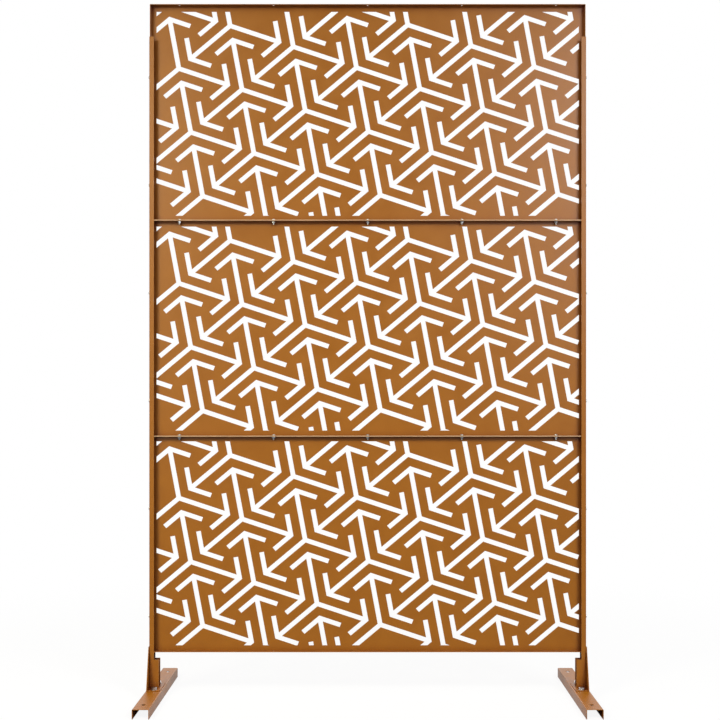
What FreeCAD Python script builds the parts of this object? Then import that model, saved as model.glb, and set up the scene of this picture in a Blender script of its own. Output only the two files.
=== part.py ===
import FreeCAD, Part
import math
import os

# Free-standing privacy screen: three laser-cut panels between two posts on two feet.
# Millimetres, +X to the right, +Y to the back, +Z up, origin on the floor between the feet.

# Panels, folded as trays with all four flanges to the front; bends are outside radii
PANEL_WIDTH = 1200.0
PANEL_HEIGHT = 595.0
PANEL_DEPTH = 18.0
PANEL_SHEET = 1.2
PANEL_BEND = 2.2
FLOOR_GAP = 125.0

# Cut pattern of three-armed arrow stars; pieces trimmed below the smallest cut, in mm2, stay uncut
# except the scraps of two stars, named by their steps along the lattice
STAR_PITCH = 186.0
STAR_TILT = 18.8
STAR_HEIGHT_RATIO = 0.968
STAR_LEAN = 0.018
CUT_WIDTH = 13.0
WEB_WIDTH = 23.4
BARB_GAP = 31.5
FIRST_STAR_IN = 218.8
FIRST_STAR_DOWN = 53.5
BORDER = 15.0
STAR_OUT_SIDE = 95.0
STAR_OUT_EDGE = 70.0
SMALLEST_CUT = 290.0
SMALLEST_SCRAP = 90.0
SCRAP_STARS = ((-1, 0), (3, -3))

# Posts, U-channels round the panels' side flanges, each in two lengths
POST_SHEET = 1.5
POST_BEND = 1.8
POST_PLAY = 0.3
POST_LEG = 13.0
POST_FOOT_LEG = 26.5
LEG_STEP_DROP = 20.0
POST_TOP_DROP = 90.0
SPLICE_RISE = 255.0

# Foot brackets, a gusset outside each post and a base flange under it
BRACKET_SHEET = 2.0
GUSSET_RISE = 114.0
GUSSET_BASE = 84.0
GUSSET_TOP_LIP = 1.0
BASE_INSET = 4.5
BASE_CORNER = 6.0

# Feet, upturned U-channels open at both ends
FOOT_LENGTH = 400.0
FOOT_WIDTH = 44.0
FOOT_HEIGHT = 26.0
FOOT_SHEET = 1.5
FOOT_BEND = 2.5
FOOT_OVERHANG = 2.5
ANCHOR_HOLE = 11.0
ANCHOR_INSET = 40.0

# Pan head screws and nuts of the panels and posts
SCREW_SIZE = 5.0
SCREW_HEAD = 9.5
SCREW_HEAD_RISE = 3.7
SCREW_NUT = 8.0
SCREW_NUT_RISE = 4.7
JOINT_SCREW_LENGTH = 12.0
JOINT_END_INSET = 80.0
JOINT_SCREWS = 5
POST_SCREW_LENGTH = 10.0
POST_SCREW_DROP = 200.0
POST_SCREW_LOW = 97.5

# Hexagon bolts, washers and nuts of the feet
BOLT_SIZE = 8.0
BOLT_HEAD = 13.0
BOLT_HEAD_RISE = 5.3
BOLT_LENGTH = 20.0
BOLT_NUT_RISE = 6.5
BOLT_EDGE = 11.0
WASHER_SIZE = 16.0
WASHER_SHEET = 1.6

# Gaps on each side of a screw or bolt, in a sheet's hole and in a nut or washer
HOLE_PLAY = 0.25
THREAD_PLAY = 0.05

# Flats that stand in for the round of a shank, of a small hole, and of a screw head or washer
SHANK_SIDES = 6
HOLE_SIDES = 8
HEAD_SIDES = 8

# Levels and faces that several pieces share
POST_IN = PANEL_WIDTH / 2
POST_OUT = POST_IN + POST_SHEET
POST_DEPTH = PANEL_DEPTH + 2 * (POST_PLAY + POST_SHEET)
GUSSET_OUT = POST_OUT + BRACKET_SHEET
FOOT_OUT = GUSSET_OUT + FOOT_OVERHANG
FOOT_MIDDLE = FOOT_OUT - FOOT_WIDTH / 2
BASE_IN = FOOT_OUT - FOOT_WIDTH + BASE_INSET
BASE_TOP = FOOT_HEIGHT + BRACKET_SHEET
LOWER_JOINT = FLOOR_GAP + PANEL_HEIGHT
UPPER_JOINT = LOWER_JOINT + PANEL_HEIGHT
SCREEN_TOP = UPPER_JOINT + PANEL_HEIGHT
SPLICE = LOWER_JOINT + SPLICE_RISE
SCREW_HOLE = SCREW_SIZE / 2 + HOLE_PLAY
BOLT_HOLE = BOLT_SIZE / 2 + HOLE_PLAY

SIXTH_TURN = math.radians(60)
ORIGIN = FreeCAD.Vector(0, 0, 0)
RIGHT = FreeCAD.Vector(1, 0, 0)
BACK = FreeCAD.Vector(0, 1, 0)
UP = FreeCAD.Vector(0, 0, 1)


def point(x, y, z):
    return FreeCAD.Vector(x, y, z)


def flat_face(points):
    return Part.Face(Part.makePolygon(points + points[:1]))


def span_box(low, high):
    size = high - low
    return Part.makeBox(size.x, size.y, size.z, low)


def prism(across, length, seat, way, sides):
    """A regular prism from its seat along the given way, as wide across its flats as told."""
    corner = across / 2 / math.cos(math.pi / sides)
    turns = [2 * math.pi * step / sides for step in range(sides)]
    ring = flat_face([point(corner * math.cos(turn), corner * math.sin(turn), 0) for turn in turns])
    body = ring.extrude(UP * length)
    body.Placement = FreeCAD.Placement(seat, FreeCAD.Rotation(UP, way))
    return body


def bar(diameter, length, seat, way, sides):
    """A round bar drawn with flats, its corners on the round."""
    return prism(diameter * math.cos(math.pi / sides), length, seat, way, sides)


def hole(radius, length, seat, way):
    """A round hole drawn with flats that touch the round."""
    return prism(2 * radius, length, seat, way, HOLE_SIDES)


def mirrored(shape):
    return shape.mirror(ORIGIN, RIGHT)


def edges_where(shape, test):
    return [edge for edge in shape.Edges if all(test(vertex.Point) for vertex in edge.Vertexes)]


def near(a, b):
    return abs(a - b) < PANEL_SHEET / 100


# Cut pattern

def leaning(x, z):
    """A place in the regular pattern as it lies on the panel, flattened and leaning a little."""
    z = z * STAR_HEIGHT_RATIO
    return x + STAR_LEAN * z, z


def star_outline():
    """One star about its centre: three arms, each with an arrowhead of two barbs."""
    half = CUT_WIDTH / 2
    lean = math.sin(SIXTH_TURN)
    arm = STAR_PITCH - (WEB_WIDTH + CUT_WIDTH) / lean
    barb = arm - STAR_PITCH / 3 - BARB_GAP * 2 / 3
    neck = arm - half / math.tan(SIXTH_TURN / 2)
    barb_end = arm - barb / 2
    barb_side = barb * lean
    right = [
        (half / math.tan(SIXTH_TURN), -half),
        (neck, -half),
        (barb_end - half * lean, half / 2 - barb_side),
        (barb_end + half * lean, -half / 2 - barb_side),
    ]
    tip = (arm + half / lean, 0)
    left = [(along, -across) for along, across in reversed(right[1:])]
    outline = []
    for turn in range(3):
        angle = 2 * turn * SIXTH_TURN - math.radians(STAR_TILT)
        for along, across in right + [tip] + left:
            x = along * math.cos(angle) - across * math.sin(angle)
            z = along * math.sin(angle) + across * math.cos(angle)
            outline.append(leaning(x, z))
    return outline


def star_centres():
    """Lattice steps and centres of the stars in or close to the cut field, from the panel's lower middle."""
    field_side = PANEL_WIDTH / 2 - BORDER + STAR_OUT_SIDE
    field_low = BORDER - STAR_OUT_EDGE
    field_high = PANEL_HEIGHT - BORDER + STAR_OUT_EDGE
    tilt = math.radians(STAR_TILT)
    reach = math.ceil((PANEL_WIDTH + PANEL_HEIGHT) / STAR_PITCH)
    centres = []
    for i in range(-reach, 2 * reach):
        for j in range(-2 * reach, reach):
            along = STAR_PITCH * (i * math.cos(-tilt) + j * math.cos(SIXTH_TURN - tilt))
            rise = STAR_PITCH * (i * math.sin(-tilt) + j * math.sin(SIXTH_TURN - tilt))
            across, up = leaning(along, rise)
            x = FIRST_STAR_IN - PANEL_WIDTH / 2 + across
            z = PANEL_HEIGHT - FIRST_STAR_DOWN + up
            if abs(x) < field_side and field_low < z < field_high:
                centres.append(((i, j), x, z))
    return centres


def pattern_cuts():
    """Prisms through the sheet, one for each star, trimmed to a plain border without most scraps."""
    before = PANEL_DEPTH / 2 - 2 * PANEL_SHEET
    side = PANEL_WIDTH / 2 - BORDER
    top = PANEL_HEIGHT - BORDER
    field = flat_face([
        point(-side, before, BORDER),
        point(side, before, BORDER),
        point(side, before, top),
        point(-side, before, top),
    ])
    outline = star_outline()
    cuts = []
    for steps, x, z in star_centres():
        star = flat_face([point(x + dx, before, z + dz) for dx, dz in outline])
        smallest = SMALLEST_SCRAP if steps in SCRAP_STARS else SMALLEST_CUT
        trimmed = [face for face in star.common(field).Faces if face.Area > smallest]
        cuts += [face.extrude(BACK * 3 * PANEL_SHEET) for face in trimmed]
    return cuts


# Panels

def tray():
    """A plain folded tray, open to the front, with round bends and corners welded shut."""
    side = PANEL_WIDTH / 2
    face = PANEL_DEPTH / 2
    wall = PANEL_SHEET
    outside = span_box(point(-side, -face, 0), point(side, face, PANEL_HEIGHT))
    outside = outside.makeFillet(PANEL_BEND, edges_where(outside, lambda p: near(p.y, face)))
    inside = span_box(point(wall - side, -face, wall), point(side - wall, face - wall, PANEL_HEIGHT - wall))
    return outside.cut(inside)


def joint_screw_places():
    first = JOINT_END_INSET - PANEL_WIDTH / 2
    pitch = (PANEL_WIDTH - 2 * JOINT_END_INSET) / (JOINT_SCREWS - 1)
    return [first + number * pitch for number in range(JOINT_SCREWS)]


def post_screw_levels(panel_foot):
    return [panel_foot + POST_SCREW_LOW, panel_foot + PANEL_HEIGHT - POST_SCREW_DROP]


def panel():
    """One panel standing on z = 0: the tray with its pattern and its screw holes."""
    joint_holes = [hole(SCREW_HOLE, PANEL_HEIGHT, point(x, 0, 0), UP) for x in joint_screw_places()]
    post_holes = [
        hole(SCREW_HOLE, PANEL_WIDTH, point(-PANEL_WIDTH / 2, 0, z), RIGHT)
        for z in post_screw_levels(0)
    ]
    return tray().cut(pattern_cuts() + joint_holes + post_holes)


# Posts, brackets and feet, all made for the right side

def long_edges(shape, x, length):
    """The edges of a box that run its full length in the plane of the given x."""
    return [edge for edge in edges_where(shape, lambda p: near(p.x, x)) if near(edge.Length, length)]


def channel(width, leg, length, sheet, bend):
    """A U-channel along +Z: the web's outer face at x = 0, the legs towards -x."""
    half = width / 2
    outside = span_box(point(-leg, -half, 0), point(0, half, length))
    outside = outside.makeFillet(bend, long_edges(outside, 0, length))
    inside = span_box(point(-leg, sheet - half, 0), point(-sheet, half - sheet, length))
    return outside.cut(inside)


def all_post_screw_levels():
    return [level for foot in (FLOOR_GAP, LOWER_JOINT, UPPER_JOINT) for level in post_screw_levels(foot)]


def post(low, high, leg):
    """A length of post between two levels, with the screw holes that fall in it."""
    body = channel(POST_DEPTH, leg, high - low, POST_SHEET, POST_BEND)
    body.translate(point(POST_OUT, 0, low))
    holes = [
        hole(SCREW_HOLE, POST_SHEET, point(POST_IN, 0, level), RIGHT)
        for level in all_post_screw_levels() if low < level < high
    ]
    return body.cut(holes)


def upper_post():
    return post(SPLICE, SCREEN_TOP - POST_TOP_DROP, POST_LEG)


def lower_post():
    """The lower length keeps its wide legs only below the panels."""
    body = post(BASE_TOP, SPLICE, POST_FOOT_LEG)
    step = FLOOR_GAP - LEG_STEP_DROP
    trim = span_box(
        point(POST_OUT - POST_FOOT_LEG, -POST_DEPTH / 2, step),
        point(POST_OUT - POST_LEG, POST_DEPTH / 2, SPLICE))
    return body.cut(trim)


def bolt_places():
    reach = GUSSET_BASE / 2 - BOLT_EDGE
    return [point(FOOT_MIDDLE, y, 0) for y in (-reach, reach)]


def foot_bracket():
    """A gusset that tapers up the post's outer face, folded to a base flange on the foot."""
    base = GUSSET_BASE / 2
    top = POST_DEPTH / 2 + GUSSET_TOP_LIP
    gusset = flat_face([
        point(POST_OUT, -base, FOOT_HEIGHT),
        point(POST_OUT, base, FOOT_HEIGHT),
        point(POST_OUT, top, FOOT_HEIGHT + GUSSET_RISE),
        point(POST_OUT, -top, FOOT_HEIGHT + GUSSET_RISE),
    ]).extrude(RIGHT * BRACKET_SHEET)
    flange = span_box(point(BASE_IN, -base, FOOT_HEIGHT), point(GUSSET_OUT, base, BASE_TOP))
    flange = flange.makeFillet(BASE_CORNER, long_edges(flange, BASE_IN, BRACKET_SHEET))
    body = gusset.fuse(flange).removeSplitter()
    body = body.makeFillet(BRACKET_SHEET, edges_where(
        body, lambda p: near(p.x, GUSSET_OUT) and near(p.z, FOOT_HEIGHT)))
    return body.cut([hole(BOLT_HOLE, BRACKET_SHEET, place + UP * FOOT_HEIGHT, UP) for place in bolt_places()])


def foot():
    """An upturned channel along Y with two bolt holes and an anchor hole near each end."""
    body = channel(FOOT_WIDTH, FOOT_HEIGHT, FOOT_LENGTH, FOOT_SHEET, FOOT_BEND)
    body.rotate(ORIGIN, point(1, 1, 1), 240)
    body.translate(point(FOOT_MIDDLE, -FOOT_LENGTH / 2, FOOT_HEIGHT))
    under = UP * (FOOT_HEIGHT - FOOT_SHEET)
    anchor = FOOT_LENGTH / 2 - ANCHOR_INSET
    holes = [hole(BOLT_HOLE, FOOT_SHEET, place + under, UP) for place in bolt_places()]
    holes += [
        Part.makeCylinder(ANCHOR_HOLE / 2, FOOT_SHEET, point(FOOT_MIDDLE, y, 0) + under, UP)
        for y in (-anchor, anchor)
    ]
    return body.cut(holes)


# Fasteners, each made at its seat with its head towards the given way

def pan_screw(length, seat, way):
    head = bar(SCREW_HEAD, SCREW_HEAD_RISE, seat, way, HEAD_SIDES)
    shank = bar(SCREW_SIZE, length, seat, way * -1, SHANK_SIDES)
    return head.fuse(shank).removeSplitter()


def hex_bolt(seat, way):
    head = prism(BOLT_HEAD, BOLT_HEAD_RISE, seat, way, 6)
    shank = bar(BOLT_SIZE, BOLT_LENGTH, seat, way * -1, SHANK_SIDES)
    return head.fuse(shank).removeSplitter()


def nut(across_flats, size, rise, seat, way):
    bore = prism(size + 2 * THREAD_PLAY, rise, seat, way, SHANK_SIDES)
    return prism(across_flats, rise, seat, way, 6).cut(bore)


def washer(seat, way):
    bore = hole(BOLT_HOLE, WASHER_SHEET, seat, way)
    return bar(WASHER_SIZE, WASHER_SHEET, seat, way, HEAD_SIDES).cut(bore)


def joint_screws(level):
    seats = [point(x, 0, level + PANEL_SHEET) for x in joint_screw_places()]
    return Part.makeCompound([pan_screw(JOINT_SCREW_LENGTH, seat, UP) for seat in seats])


def joint_nuts(level):
    seats = [point(x, 0, level - PANEL_SHEET) for x in joint_screw_places()]
    return Part.makeCompound([nut(SCREW_NUT, SCREW_SIZE, SCREW_NUT_RISE, seat, UP * -1) for seat in seats])


def post_screws():
    seats = [point(POST_OUT, 0, level) for level in all_post_screw_levels()]
    return Part.makeCompound([pan_screw(POST_SCREW_LENGTH, seat, RIGHT) for seat in seats])


def post_nuts():
    seats = [point(POST_IN - PANEL_SHEET, 0, level) for level in all_post_screw_levels()]
    return Part.makeCompound([nut(SCREW_NUT, SCREW_SIZE, SCREW_NUT_RISE, seat, RIGHT * -1) for seat in seats])


def foot_washers():
    return Part.makeCompound([washer(place + UP * BASE_TOP, UP) for place in bolt_places()])


def foot_bolts():
    seat = UP * (BASE_TOP + WASHER_SHEET)
    return Part.makeCompound([hex_bolt(place + seat, UP) for place in bolt_places()])


def foot_nuts():
    seat = UP * (FOOT_HEIGHT - FOOT_SHEET)
    return Part.makeCompound([
        nut(BOLT_HEAD, BOLT_SIZE, BOLT_NUT_RISE, place + seat, UP * -1) for place in bolt_places()
    ])


def build():
    """Every piece by its name."""
    pieces = {}
    one_panel = panel()
    for name, level in (("bottom", FLOOR_GAP), ("middle", LOWER_JOINT), ("top", UPPER_JOINT)):
        pieces["panel_" + name] = one_panel.translated(UP * level)
    for name, level in (("lower", LOWER_JOINT), ("upper", UPPER_JOINT)):
        pieces["joint_screws_" + name] = joint_screws(level)
        pieces["joint_nuts_" + name] = joint_nuts(level)
    one_side = {
        "post_upper": upper_post(),
        "post_lower": lower_post(),
        "post_screws": post_screws(),
        "post_nuts": post_nuts(),
        "foot_bracket": foot_bracket(),
        "foot_washers": foot_washers(),
        "foot_bolts": foot_bolts(),
        "foot_nuts": foot_nuts(),
        "foot": foot(),
    }
    for name, shape in one_side.items():
        pieces[name + "_right"] = shape
        pieces[name + "_left"] = mirrored(shape)
    return pieces


os.makedirs("parts", exist_ok=True)
for name, shape in build().items():
    shape.exportStep(os.path.join("parts", name + ".step"))
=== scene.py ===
# %% [markdown]
# A free-standing privacy screen of three steel panels with a cut pattern, held between two posts on two
# feet. Posts, brackets and feet keep their CAD meshes. Blender adds what CAD left plain: the powder coat,
# panels with round bends, zinc fasteners with their threads and recesses, the light and the camera.

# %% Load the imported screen
import math
import bmesh
import bpy
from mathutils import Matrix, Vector


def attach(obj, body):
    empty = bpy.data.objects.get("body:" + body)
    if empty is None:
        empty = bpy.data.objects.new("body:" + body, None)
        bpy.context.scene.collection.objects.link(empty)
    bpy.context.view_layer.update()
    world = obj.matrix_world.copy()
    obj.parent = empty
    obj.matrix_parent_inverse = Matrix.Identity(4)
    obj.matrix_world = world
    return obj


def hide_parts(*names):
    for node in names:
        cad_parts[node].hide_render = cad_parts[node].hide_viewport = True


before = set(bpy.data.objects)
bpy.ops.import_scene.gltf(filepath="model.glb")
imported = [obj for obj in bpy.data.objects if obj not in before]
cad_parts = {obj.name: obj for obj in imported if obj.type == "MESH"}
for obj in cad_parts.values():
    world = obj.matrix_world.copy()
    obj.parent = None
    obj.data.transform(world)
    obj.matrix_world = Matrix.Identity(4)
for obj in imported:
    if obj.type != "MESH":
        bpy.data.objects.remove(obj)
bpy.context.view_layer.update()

MM = 0.001
scene = bpy.context.scene

# %% [markdown]
# Materials and geometry trees are both made of nodes and links. One small function that adds a node, sets
# its values and joins its inputs keeps every recipe below short enough to read at a glance.

# %% A helper that adds one node, and two that turn colours and sizes into Blender's units
def add_node(tree, kind, inputs=None, **settings):
    """Adds a node; an input takes a plain value, a node or an output to link, or a list of those to join."""
    node = tree.nodes.new(kind)
    for name, value in settings.items():
        setattr(node, name, value)
    for key, value in (inputs or {}).items():
        sources = value if isinstance(value, list) else [value]
        if isinstance(sources[0], (bpy.types.Node, bpy.types.NodeSocket)):
            for source in sources:
                output = source.outputs[0] if isinstance(source, bpy.types.Node) else source
                tree.links.new(output, node.inputs[key])
        else:
            node.inputs[key].default_value = value
    return node


def linear(hex_colour):
    """An sRGB hex colour as linear red, green, blue and alpha."""
    channels = [int(hex_colour[at:at + 2], 16) / 255 for at in (1, 3, 5)]
    return [c / 12.92 if c <= 0.04045 else ((c + 0.055) / 1.055) ** 2.4 for c in channels] + [1]


def per_metre(size_mm):
    """The texture scale that makes a pattern's features about this many millimetres wide."""
    return 1 / (size_mm * MM)


WHITE = "#ffffff"
print("white in linear:", linear(WHITE))

# %% [markdown]
# The coat looks like semi-gloss polyester powder, which is sprayed on dry and baked until it flows. Flowing
# draws a coat back from cut edges, and in the photograph edges are a little paler. A Bevel node rounds them
# in the shading alone, which suits a coat only a tenth of a millimetre thick. The paler colour of the edges
# is partly that thinner coat and partly a painted highlight on the rounded edges. Inside corners are dark in
# the photograph, and ledges that face up are not. Light alone left the corners too pale, so part of that
# dark is painted into the coat's colour as painted shade. Ambient Occlusion looks for closed corners, once
# straight on and once leaning up, and the more open of the two counts, so ledges that face up get no painted
# shade. The rims where two panels meet look pale in the photograph. Their paler colour is a painted
# highlight, and the panels carry an attribute that says where.

# %% Powder coat on steel: its colours, with painted shade and painted highlights
COAT_GOLD, COAT_AMBER = "#a26309", "#995b06"
# The edge colour is partly a thinner coat and partly a painted highlight, the corner colour is painted shade
# and the rim colour is a painted highlight
EDGE_COAT_AND_HIGHLIGHT, PAINTED_CORNER_SHADE, PAINTED_RIM_HIGHLIGHT = "#d8a262", "#622400", "#e6c4a0"
# Real pigment is too fine to see, so its grains are drawn 1.6 mm wide
CLOUD_MM, PIGMENT_MM = 70, 1.6
COAT_EDGE_MM, CORNER_MM, LOOK_LIFT = 0.8, 35, 0.6
# How far edges turn to their partly painted highlight, and how far rims turn to their painted highlight
EDGE_PALE_AND_HIGHLIGHT, RIM_HIGHLIGHT_SHARE = 0.85, 0.65
# Where each change of colour begins and where it is full
GOLD_SHADE, EDGE_TURN, CORNER_OPENING = (0.12, 0.38), (0.98, 0.75), (0.88, 0.35)

powder_coat = bpy.data.materials.new("powder_coat_golden_brown")
powder_coat.use_nodes = True
tree = powder_coat.node_tree
tree.nodes.clear()
place = add_node(tree, "ShaderNodeTexCoord").outputs["Object"]
clouds = add_node(tree, "ShaderNodeTexNoise", {"Vector": place, "Scale": per_metre(CLOUD_MM), "Detail": 3.0})
pigment = add_node(tree, "ShaderNodeTexNoise", {
    "Vector": place, "Scale": per_metre(PIGMENT_MM), "Detail": 2.0})
shades = add_node(tree, "ShaderNodeMath", {0: clouds, 1: pigment}, operation="MULTIPLY")
tone = add_node(tree, "ShaderNodeMapRange", {
    "Value": shades, "From Min": GOLD_SHADE[0], "From Max": GOLD_SHADE[1]})
colour = add_node(tree, "ShaderNodeMix", {
    "Factor": tone, "A": linear(COAT_AMBER), "B": linear(COAT_GOLD)}, data_type="RGBA")
rounded = add_node(tree, "ShaderNodeBevel", {"Radius": COAT_EDGE_MM * MM}, samples=4)
flat = add_node(tree, "ShaderNodeNewGeometry").outputs["True Normal"]
turn = add_node(tree, "ShaderNodeVectorMath", {0: rounded, 1: flat}, operation="DOT_PRODUCT").outputs["Value"]
# Edges turn paler: partly a thinner coat, partly a painted highlight on the rounded edges
edge = add_node(tree, "ShaderNodeMapRange", {
    "Value": turn, "From Min": EDGE_TURN[0], "From Max": EDGE_TURN[1], "To Max": EDGE_PALE_AND_HIGHLIGHT})
colour = add_node(tree, "ShaderNodeMix", {
    "Factor": edge, "A": colour.outputs["Result"], "B": linear(EDGE_COAT_AND_HIGHLIGHT)}, data_type="RGBA")
lifted = add_node(tree, "ShaderNodeVectorMath", {0: flat, 1: (0, 0, LOOK_LIFT)}, operation="ADD")
upwards = add_node(tree, "ShaderNodeVectorMath", {0: lifted}, operation="NORMALIZE")
openings = [
    add_node(tree, "ShaderNodeAmbientOcclusion", {
        "Distance": CORNER_MM * MM, "Normal": way}, samples=8).outputs["AO"]
    for way in (flat, upwards)]
opening = add_node(tree, "ShaderNodeMath", {0: openings[0], 1: openings[1]}, operation="MAXIMUM")
# Closed corners turn dark: this is painted shade
corner_shade_share = add_node(tree, "ShaderNodeMapRange", {
    "Value": opening, "From Min": CORNER_OPENING[0], "From Max": CORNER_OPENING[1]})
colour = add_node(tree, "ShaderNodeMix", {
    "Factor": corner_shade_share, "A": colour.outputs["Result"], "B": linear(PAINTED_CORNER_SHADE)}, data_type="RGBA")
# Rims that meet another panel turn pale: this is a painted highlight
rubbed = add_node(tree, "ShaderNodeAttribute", attribute_name="rubbed").outputs["Fac"]
painted_rim_highlight = add_node(tree, "ShaderNodeMath", {0: rubbed, 1: RIM_HIGHLIGHT_SHARE}, operation="MULTIPLY")
colour = add_node(tree, "ShaderNodeMix", {
    "Factor": painted_rim_highlight, "A": colour.outputs["Result"], "B": linear(PAINTED_RIM_HIGHLIGHT)}, data_type="RGBA")
print("coat's colour nodes:", len(tree.nodes))

# %% [markdown]
# Flowing also leaves orange peel, a soft ripple one to three millimetres wide that breaks up every
# reflection. A Bump node draws it on top of the rounded edges. The gloss wanders a little with the clouds,
# so that large faces do not look like plastic.

# %% Powder coat on steel: its gloss and its orange peel
# The ripple is drawn 5 mm wide, because a finer one would not show
RIPPLE_MM, RIPPLE_DEPTH_MM = 5.0, 0.05
COAT_GLOSSY, COAT_DULL = 0.36, 0.44
# Most of a noise lies between these two values
NOISE_LOW, NOISE_HIGH = 0.3, 0.7

ripple = add_node(tree, "ShaderNodeTexNoise", {
    "Vector": place, "Scale": per_metre(RIPPLE_MM), "Detail": 1.0})
gloss = add_node(tree, "ShaderNodeMapRange", {
    "Value": clouds, "From Min": NOISE_LOW, "From Max": NOISE_HIGH,
    "To Min": COAT_GLOSSY, "To Max": COAT_DULL})
peel = add_node(tree, "ShaderNodeBump", {
    "Height": ripple, "Normal": rounded, "Strength": 1.0, "Distance": RIPPLE_DEPTH_MM * MM})
shader = add_node(tree, "ShaderNodeBsdfPrincipled", {
    "Base Color": colour.outputs["Result"], "Roughness": gloss, "Normal": peel, "IOR": 1.5})
add_node(tree, "ShaderNodeOutputMaterial", {"Surface": shader})
print("coat nodes:", len(tree.nodes))

# %% [markdown]
# The fasteners look like steel with a bright zinc plate, a bluish silver that is shiny but not a mirror.
# In the photograph each is only a few bright pixels, so the mottle that breaks up the reflection is a
# guess. Two noises make it, one for its tone and polish and one for its grit.

# %% Bright zinc plate
ZINC_LIGHT, ZINC_DARK = "#d3d6d8", "#b4b7ba"
# The grain of a plate is far finer than this, and would not show even close up
MOTTLE_MM, GRIT_MM, GRIT_DEPTH_MM = 1.2, 0.6, 0.01
ZINC_BRIGHT, ZINC_DULL = 0.24, 0.36

zinc = bpy.data.materials.new("zinc_plate_bright")
zinc.use_nodes = True
tree = zinc.node_tree
tree.nodes.clear()
place = add_node(tree, "ShaderNodeTexCoord").outputs["Object"]
mottle = add_node(tree, "ShaderNodeTexNoise", {"Vector": place, "Scale": per_metre(MOTTLE_MM), "Detail": 3.0})
grit = add_node(tree, "ShaderNodeTexNoise", {"Vector": place, "Scale": per_metre(GRIT_MM), "Detail": 2.0})
plate = add_node(tree, "ShaderNodeMix", {
    "Factor": mottle, "A": linear(ZINC_DARK), "B": linear(ZINC_LIGHT)}, data_type="RGBA")
polish = add_node(tree, "ShaderNodeMapRange", {
    "Value": mottle, "From Min": NOISE_LOW, "From Max": NOISE_HIGH,
    "To Min": ZINC_BRIGHT, "To Max": ZINC_DULL})
grain = add_node(tree, "ShaderNodeBump", {"Height": grit, "Strength": 1.0, "Distance": GRIT_DEPTH_MM * MM})
shader = add_node(tree, "ShaderNodeBsdfPrincipled", {
    "Base Color": plate.outputs["Result"], "Roughness": polish, "Normal": grain, "Metallic": 1.0})
add_node(tree, "ShaderNodeOutputMaterial", {"Surface": shader})
print("zinc nodes:", len(tree.nodes))

# %% [markdown]
# Posts, brackets and feet keep their CAD meshes, since a folded sheet is exactly what CAD draws well. Only
# the material in their slot changes.

# %% Coat the sheet-metal pieces
FASTENERS = ("screws", "nuts", "bolts", "washers")
coated = [node for name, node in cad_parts.items() if not any(word in name for word in FASTENERS)]
for node in coated:
    for slot in node.material_slots:
        slot.material = powder_coat
print("coated:", len(coated))

# %% [markdown]
# Screws, nuts, bolts and washers are round about one axis but for their hexagons and recesses, so each
# pattern piece starts as a profile turned about its axis, seat at zero and head upwards. The driver recess,
# the thread of a nut and the corners of a hexagon are booleans, each with a tool of that shape. Threads are
# drawn as rings, because the lead of so fine a helix cannot be seen. In the end each piece is cut into
# triangles, because a face of many corners that is cut later can pick a diagonal that is already in use.

# %% Tools that shape one fastener
SOFT_EDGE = math.radians(32)
SLIVER_MM = 0.004


def turned(profile, sides):
    """A solid turned about Z from (radius, height) points in millimetres, both ends on the axis."""
    shape = bmesh.new()
    turns = [2 * math.pi * step / sides for step in range(sides)]
    rings = []
    for radius, height in profile:
        if radius == 0:
            rings.append([shape.verts.new((0, 0, height * MM))] * sides)
        else:
            rings.append([
                shape.verts.new((radius * MM * math.cos(turn), radius * MM * math.sin(turn), height * MM))
                for turn in turns])
    for low, high in zip(rings, rings[1:]):
        for step in range(sides):
            after = (step + 1) % sides
            corners = dict.fromkeys([low[step], low[after], high[after], high[step]])
            shape.faces.new(list(corners))
    return finished(shape)


def finished(shape):
    """Turns a bmesh into a linked object with its normals out."""
    bmesh.ops.recalc_face_normals(shape, faces=shape.faces)
    mesh = bpy.data.meshes.new("blank")
    shape.to_mesh(mesh)
    shape.free()
    piece = bpy.data.objects.new("blank", mesh)
    scene.collection.objects.link(piece)
    return piece


def cut(piece, tool, operation):
    """Applies a boolean with a tool piece, which is used up, and clears the slivers it leaves."""
    modifier = piece.modifiers.new("cut", "BOOLEAN")
    modifier.operation = operation
    modifier.solver = "EXACT"
    modifier.object = tool
    depsgraph = bpy.context.evaluated_depsgraph_get()
    mesh = bpy.data.meshes.new_from_object(piece.evaluated_get(depsgraph))
    piece.modifiers.clear()
    shape = bmesh.new()
    shape.from_mesh(mesh)
    bmesh.ops.remove_doubles(shape, verts=shape.verts, dist=SLIVER_MM * MM)
    bmesh.ops.dissolve_degenerate(shape, edges=shape.edges, dist=SLIVER_MM * MM)
    shape.to_mesh(mesh)
    shape.free()
    piece.data = mesh
    bpy.data.objects.remove(tool)
    return piece


def smoothed(piece, name):
    """Cuts a finished piece into triangles and shades it smooth up to its real edges."""
    piece.name = name
    shape = bmesh.new()
    shape.from_mesh(piece.data)
    bmesh.ops.triangulate(shape, faces=shape.faces)
    shape.to_mesh(piece.data)
    shape.free()
    piece.data.shade_smooth()
    piece.data.set_sharp_from_angle(angle=SOFT_EDGE)
    return piece


# Shares of a thread's pitch: the depth of its groove, and where a flank starts and a crest starts and ends
THREAD_DEPTH, FLANK_START, CREST_START, CREST_END = 0.6, 0.1, 0.5, 0.6


def thread(size, pitch, low, high):
    """Profile points of a thread's rings between two heights, from low to high."""
    crest, root = size / 2, size / 2 - THREAD_DEPTH * pitch
    count = int((high - low) / pitch)
    points = []
    for ring in range(count):
        foot = low + ring * pitch
        points += [
            (root, foot + FLANK_START * pitch), (crest, foot + CREST_START * pitch),
            (crest, foot + CREST_END * pitch)]
    return points + [(root, low + count * pitch)]


def shank(size, pitch, length, chamfer, tip, runout, neck):
    """Profile points of a threaded shank below a head, from its end on the axis to its plain neck."""
    end = [(0, -length), (size / 2 - chamfer, -length)]
    return end + thread(size, pitch, tip - length, -runout) + [(size / 2, -neck)]


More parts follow.
